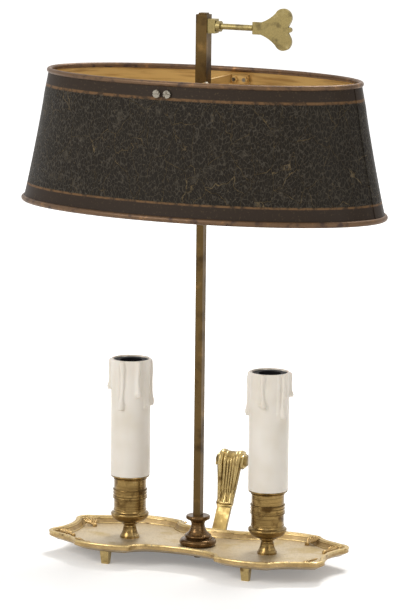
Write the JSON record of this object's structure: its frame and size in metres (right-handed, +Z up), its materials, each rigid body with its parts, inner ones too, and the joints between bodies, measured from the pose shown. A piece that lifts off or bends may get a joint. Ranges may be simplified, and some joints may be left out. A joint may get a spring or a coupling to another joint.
{
  "type": "bouillotte lamp",
  "caption": "Low two-light table lamp with a cartouche brass tray and handle, drip-wax candle tubes and a square rod that carries a sliding oval painted metal shade held by a clamp key.",
  "frame": {"origin": "on the table under the axis of the square rod, midway between the two candle holders", "axes": "+Z up along the rod, +X along the tray towards the clamp key, +Y to the rear where the handle stands"},
  "size_m": [0.263, 0.135, 0.3789],
  "materials": {
    "gilt_brass": "lacquered, satin floor and bright moulded edge",
    "aged_brass": "turned and polished, aged to a warm brown gold",
    "dark_bronze": "darkened bronze patina, rubbed brighter on the edges",
    "key_brass": "cast, filed flat, dull greenish gold",
    "candle_white": "warm white moulded resin with a soft sheen",
    "black_plastic": "black phenolic moulding",
    "shade_paint": "black-green crackled paint with fine gold lines outside, gold inside",
    "bead_copper": "worn gilt rolled edge, coppery",
    "nickel": "nickel plated, slightly dull",
    "zinc_steel": "zinc plated steel",
    "lead_sleeve": "gold-brown insulation",
    "terminal_plastic": "natural nylon"
  },
  "bodies": {
    "base": {"tray": "gilt_brass", "foot_front_left": "gilt_brass", "foot_front_right": "gilt_brass", "foot_rear_left": "gilt_brass", "foot_rear_right": "gilt_brass", "handle": "gilt_brass", "handle_rivets": "gilt_brass", "rod_foot": "dark_bronze", "rod": "dark_bronze", "rod_washer": "zinc_steel", "rod_nut": "zinc_steel", "terminal_block": "terminal_plastic", "terminal_screws": "zinc_steel", "cord_grip": "black_plastic", "left_stem": "aged_brass", "left_cup": "aged_brass", "left_screw_shell": "aged_brass", "left_centre_contact": "aged_brass", "left_nipple": "zinc_steel", "left_washer": "zinc_steel", "left_lower_nut": "zinc_steel", "left_cup_nut": "zinc_steel", "left_bracket": "zinc_steel", "left_lampholder": "black_plastic", "left_candle_tube": "candle_white", "left_lead": "lead_sleeve", "right_stem": "aged_brass", "right_cup": "aged_brass", "right_screw_shell": "aged_brass", "right_centre_contact": "aged_brass", "right_nipple": "zinc_steel", "right_washer": "zinc_steel", "right_lower_nut": "zinc_steel", "right_cup_nut": "zinc_steel", "right_bracket": "zinc_steel", "right_lampholder": "black_plastic", "right_candle_tube": "candle_white", "right_lead": "lead_sleeve"},
    "shade": {"sleeve": "dark_bronze", "shade_arm_front": "dark_bronze", "shade_arm_rear": "dark_bronze", "shade_shell": "shade_paint", "shade_top_bead": "bead_copper", "shade_bottom_bead": "bead_copper", "shade_screws": "nickel", "shade_nuts": "zinc_steel", "key_boss": "key_brass"},
    "key": {"key_stem": "key_brass", "key_collar": "key_brass", "key_bow": "key_brass"}
  },
  "joints": [
    {"name": "shade_height", "type": "slide", "parent": "base", "child": "shade", "axis": [0, 0, 1], "range_m": [-0.11, 0]},
    {"name": "key_turn", "type": "hinge", "parent": "shade", "child": "key", "pos_m": [0, 0, 0.365], "axis": [1, 0, 0], "range_deg": [0, 270]}
  ]
}
